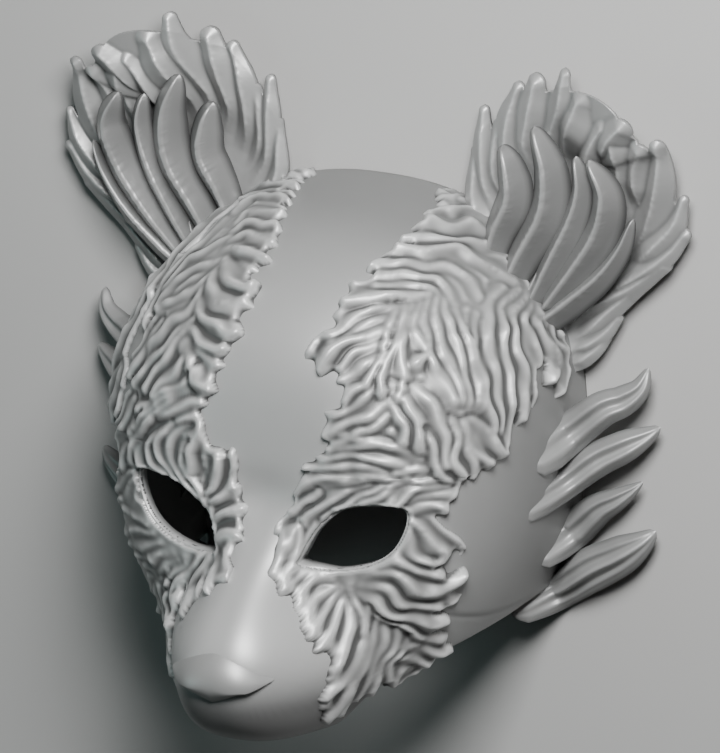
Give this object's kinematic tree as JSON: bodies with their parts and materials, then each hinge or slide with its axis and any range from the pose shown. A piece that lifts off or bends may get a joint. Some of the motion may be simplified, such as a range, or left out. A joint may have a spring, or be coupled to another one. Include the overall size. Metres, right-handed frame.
{
  "type": "badger half mask",
  "caption": "Rigid badger half mask with a rounded muzzle, winged nose, almond eye holes, raised fur stripes, pointed cheek tufts and upright dished ears, open behind and below.",
  "frame": {"origin": "on the surface the mask rests on, under the middle of its bounding box", "axes": "+Z out of the face, +Y from the chin to the crown, +X to the wearer's left"},
  "size_m": [0.231, 0.2194, 0.1305],
  "materials": {
    "mask_shell": "smooth light grey cast plastic, slightly glossy",
    "nose_pad": "smooth light grey cast plastic, slightly glossy",
    "fur_stripe_left": "smooth light grey cast plastic, slightly glossy",
    "fur_stripe_right": "smooth light grey cast plastic, slightly glossy",
    "ear_left": "smooth light grey cast plastic, slightly glossy",
    "ear_right": "smooth light grey cast plastic, slightly glossy",
    "ear_tuft_left": "smooth light grey cast plastic, slightly glossy",
    "ear_tuft_right": "smooth light grey cast plastic, slightly glossy"
  },
  "bodies": {
    "root": {"mask_shell": "mask_shell", "nose_pad": "nose_pad", "fur_stripe_left": "fur_stripe_left", "fur_stripe_right": "fur_stripe_right", "ear_left": "ear_left", "ear_right": "ear_right", "ear_tuft_left": "ear_tuft_left", "ear_tuft_right": "ear_tuft_right"}
  },
  "joints": []
}
